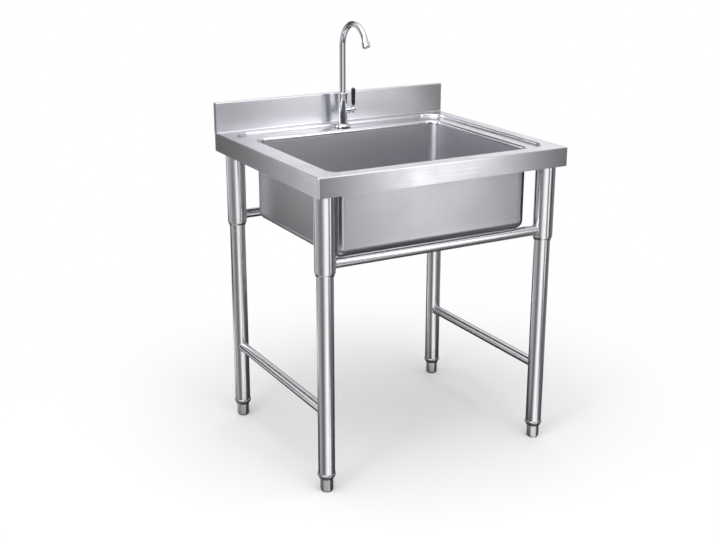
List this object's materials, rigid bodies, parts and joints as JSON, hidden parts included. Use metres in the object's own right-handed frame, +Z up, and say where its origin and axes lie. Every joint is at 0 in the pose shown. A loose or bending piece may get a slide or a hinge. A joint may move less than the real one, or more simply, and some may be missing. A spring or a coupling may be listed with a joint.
{
  "type": "commercial sink",
  "caption": "Free-standing stainless sink: deep bowl in a pressed worktop with splashback, tube stand with adjustable feet, swan-neck lever tap and basket waste.",
  "frame": {"origin": "on the floor, under the middle of the worktop", "axes": "+Z up, +X to the user's right along the worktop, +Y from the user towards the splashback"},
  "size_m": [0.7, 0.6, 1.085],
  "materials": {
    "brushed_sheet": "brushed stainless sheet",
    "polished_tube": "polished stainless tube",
    "plain_steel": "mill-finish folded and pressed steel",
    "cast_foot": "cast and turned, satin",
    "satin_waste": "pressed satin stainless",
    "chrome_plate": "polished chrome plate on brass",
    "brass": "turned brass",
    "black_grip": "moulded black plastic",
    "black_rubber": "moulded rubber",
    "white_plastic": "moulded plastic"
  },
  "bodies": {
    "sink_and_stand": {"deck": "brushed_sheet", "splashback": "brushed_sheet", "bowl": "brushed_sheet", "leg_sleeve_front_left": "polished_tube", "leg_sleeve_front_right": "polished_tube", "leg_sleeve_rear_left": "polished_tube", "leg_sleeve_rear_right": "polished_tube", "lower_leg_front_left": "polished_tube", "lower_leg_front_right": "polished_tube", "lower_leg_rear_left": "polished_tube", "lower_leg_rear_right": "polished_tube", "front_crossbar": "polished_tube", "rear_crossbar": "polished_tube", "left_side_rail": "polished_tube", "right_side_rail": "polished_tube", "channel_left": "plain_steel", "channel_right": "plain_steel", "flange_nuts": "plain_steel", "leg_lock_screws": "plain_steel", "leg_flange_front_left": "plain_steel", "leg_flange_front_right": "plain_steel", "leg_flange_rear_left": "plain_steel", "leg_flange_rear_right": "plain_steel", "foot_insert_front_left": "cast_foot", "foot_insert_front_right": "cast_foot", "foot_insert_rear_left": "cast_foot", "foot_insert_rear_right": "cast_foot", "drain_body": "satin_waste", "drain_tailpiece": "satin_waste", "drain_lock_nut": "satin_waste", "tap_body": "chrome_plate", "tap_base_flange": "chrome_plate", "spout_collar": "chrome_plate", "valve_bonnet": "chrome_plate", "tap_lock_nut": "brass", "valve_cartridge": "brass", "drain_gasket": "black_rubber", "tailpiece_gasket": "black_rubber", "tap_base_gasket": "black_rubber", "drain_washer": "white_plastic", "tailpiece_slip_nut": "white_plastic", "tap_backing_washer": "white_plastic"},
    "swan_neck": {"spout": "chrome_plate", "spout_o_rings": "black_rubber", "aerator_housing": "chrome_plate", "aerator_screen": "white_plastic"},
    "lever": {"valve_stem": "brass", "lever_hub": "chrome_plate", "lever_rod": "chrome_plate", "lever_grip": "black_grip", "lever_screw": "brass", "lever_index_cap": "chrome_plate"},
    "basket": {"strainer_basket": "satin_waste", "basket_knob": "satin_waste", "basket_stopper": "black_rubber"},
    "foot_front_left": {"adjustable_foot_front_left": "cast_foot"},
    "foot_front_right": {"adjustable_foot_front_right": "cast_foot"},
    "foot_rear_left": {"adjustable_foot_rear_left": "cast_foot"},
    "foot_rear_right": {"adjustable_foot_rear_right": "cast_foot"}
  },
  "joints": [
    {"name": "spout_swivel", "type": "hinge", "parent": "sink_and_stand", "child": "swan_neck", "pos_m": [0, 0.23511, 0.881], "axis": [0, 0, 1], "continuous": true},
    {"name": "lever_turn", "type": "hinge", "parent": "sink_and_stand", "child": "lever", "pos_m": [0.033, 0.23511, 0.841], "axis": [1, 0, 0], "range_deg": [0, 90]},
    {"name": "basket_lift", "type": "slide", "parent": "sink_and_stand", "child": "basket", "axis": [0, 0, 1], "range_m": [0, 0.27]},
    {"name": "foot_screw_front_left", "type": "slide", "parent": "sink_and_stand", "child": "foot_front_left", "axis": [0, 0, -1], "range_m": [0, 0.025]},
    {"name": "foot_screw_front_right", "type": "slide", "parent": "sink_and_stand", "child": "foot_front_right", "axis": [0, 0, -1], "range_m": [0, 0.025]},
    {"name": "foot_screw_rear_left", "type": "slide", "parent": "sink_and_stand", "child": "foot_rear_left", "axis": [0, 0, -1], "range_m": [0, 0.025]},
    {"name": "foot_screw_rear_right", "type": "slide", "parent": "sink_and_stand", "child": "foot_rear_right", "axis": [0, 0, -1], "range_m": [0, 0.025]}
  ]
}
